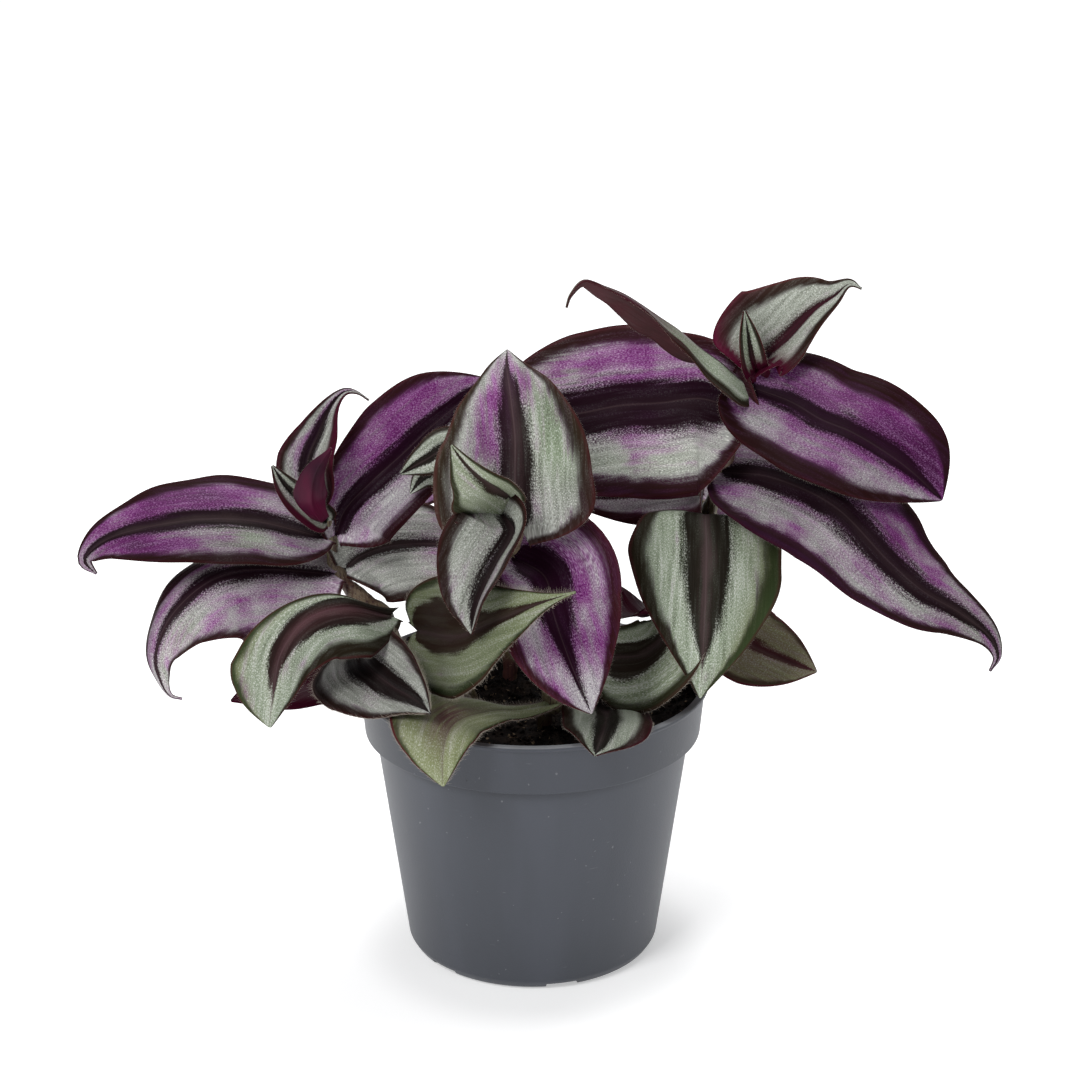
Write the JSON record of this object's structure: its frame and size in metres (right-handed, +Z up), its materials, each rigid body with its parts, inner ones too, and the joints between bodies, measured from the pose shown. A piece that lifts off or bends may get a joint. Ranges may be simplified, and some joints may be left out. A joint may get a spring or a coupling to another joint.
{
  "type": "potted tradescantia",
  "caption": "Small trailing houseplant with striped purple and silver pointed leaves on jointed stems, rooted in the soil of a round tapered nursery pot.",
  "frame": {"origin": "centre of the pad under the pot, on the surface that the pot stands on", "axes": "+Z up, +X to the right and -Y towards the viewer, as the picture shows the plant"},
  "size_m": [0.2218, 0.1169, 0.1825],
  "materials": {
    "pot": "satin slate-grey moulded plastic",
    "soil": "matte crumbly peat",
    "stem": "satin, fleshy, finely hairy",
    "purple_leaf": "satin, purple with silver bands and a dark edge",
    "silver_leaf": "satin, silver-green bands with a dark midrib and edge",
    "wine_leaf": "satin dark wine red",
    "olive_leaf": "satin yellow-green to brown olive"
  },
  "bodies": {
    "root": {"pot": "pot", "soil": "soil", "stem_left": "stem", "stem_front": "stem", "stem_right": "stem", "stem_low_left": "stem", "stem_low_middle": "stem", "stem_low_right": "stem", "stem_back_right": "stem", "stem_back": "stem", "stem_back_left": "stem", "left_outer_leaf": "purple_leaf", "left_trailing_leaf": "purple_leaf", "left_lower_leaf": "silver_leaf", "left_back_leaf": "purple_leaf", "left_inner_leaf": "purple_leaf", "left_young_leaf": "silver_leaf", "left_spathe_leaf": "wine_leaf", "left_bud_leaf": "silver_leaf", "front_upright_leaf": "purple_leaf", "front_small_leaf": "silver_leaf", "front_folded_leaf": "silver_leaf", "front_hanging_leaf": "purple_leaf", "middle_reaching_leaf": "silver_leaf", "back_claw_upper": "silver_leaf", "back_claw_lower": "silver_leaf", "right_crown_leaf": "silver_leaf", "right_bud_leaf": "silver_leaf", "right_spear_leaf": "silver_leaf", "right_broad_leaf": "purple_leaf", "right_under_leaf": "wine_leaf", "right_side_leaf": "purple_leaf", "right_long_leaf": "purple_leaf", "right_hanging_leaf": "silver_leaf", "right_low_leaf": "olive_leaf", "low_cupped_leaf": "silver_leaf", "low_dark_leaf": "wine_leaf", "rim_leaf": "olive_leaf", "low_front_leaf": "silver_leaf", "low_turned_leaf": "silver_leaf", "middle_dark_leaf": "wine_leaf", "back_low_leaf": "olive_leaf", "back_high_leaf": "silver_leaf", "back_right_leaf": "purple_leaf", "back_right_upper_leaf": "purple_leaf", "back_left_leaf": "silver_leaf", "back_left_upper_leaf": "purple_leaf", "back_left_low_leaf": "purple_leaf"}
  },
  "joints": []
}
